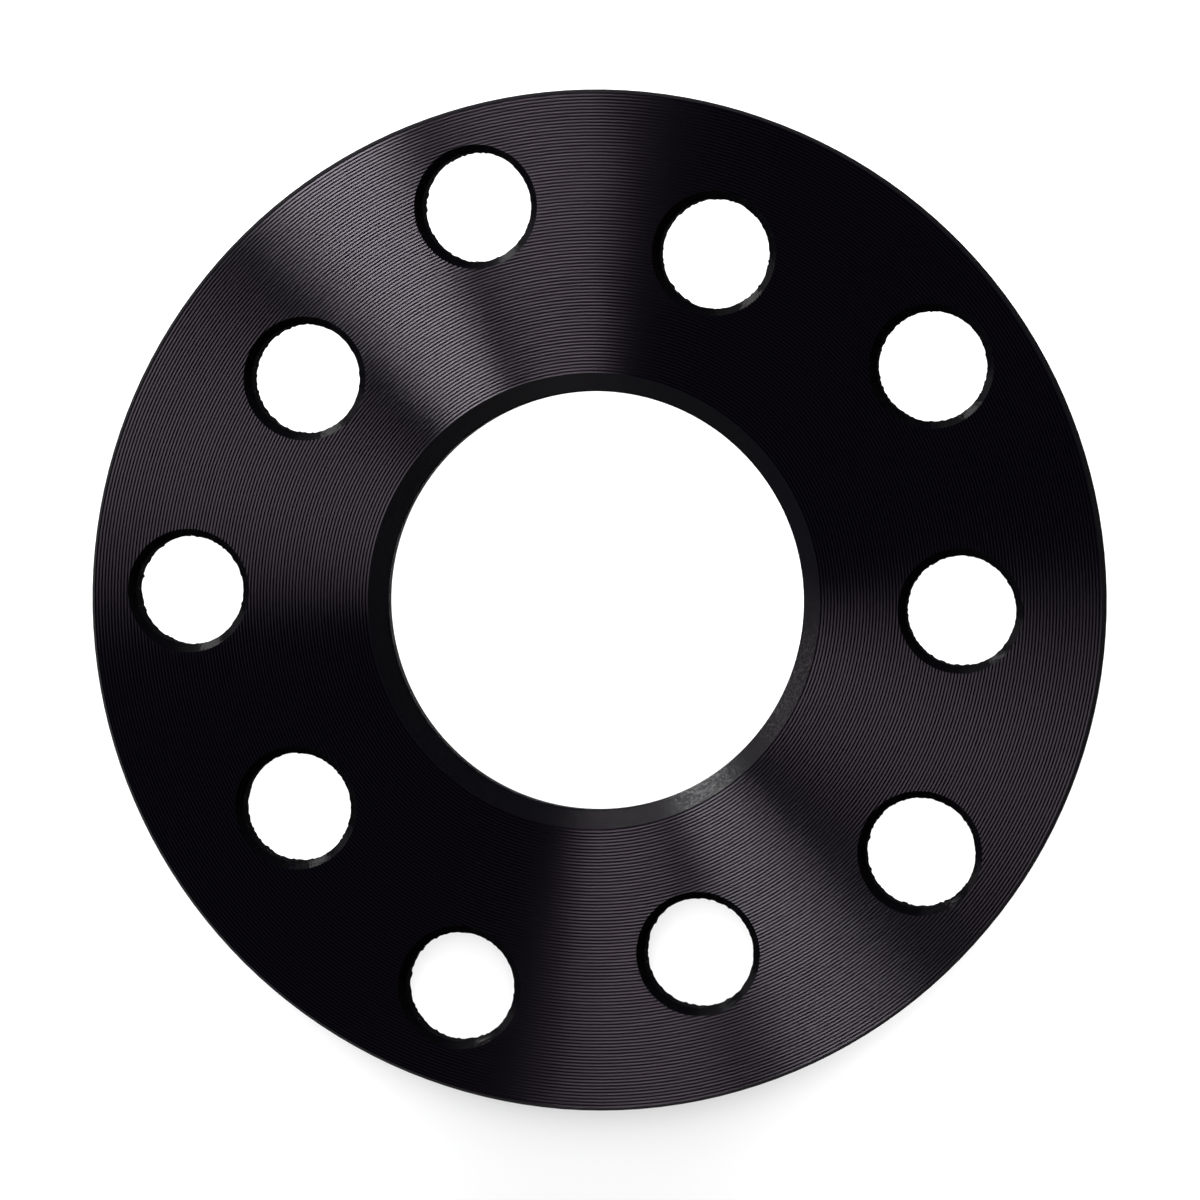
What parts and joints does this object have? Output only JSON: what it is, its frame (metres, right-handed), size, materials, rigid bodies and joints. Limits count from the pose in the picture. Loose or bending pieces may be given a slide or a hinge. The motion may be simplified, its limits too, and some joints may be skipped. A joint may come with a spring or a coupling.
{
  "type": "wheel spacer",
  "caption": "Flat disc wheel spacer with a chamfered centre bore and alternating bolt circles, which slips over a wheel hub and moves the wheel outwards.",
  "frame": {"origin": "centre of the wheel face, on the axis of the bore", "axes": "+Z along the bore axis, out of the hub face with the wide chamfer; +Y through the first hole of the large bolt circle"},
  "size_m": [0.139, 0.139, 0.005],
  "materials": {
    "anodised_aluminium": "fine turned face, black anodised"
  },
  "bodies": {
    "root": {"spacer_disc": "anodised_aluminium"}
  },
  "joints": []
}
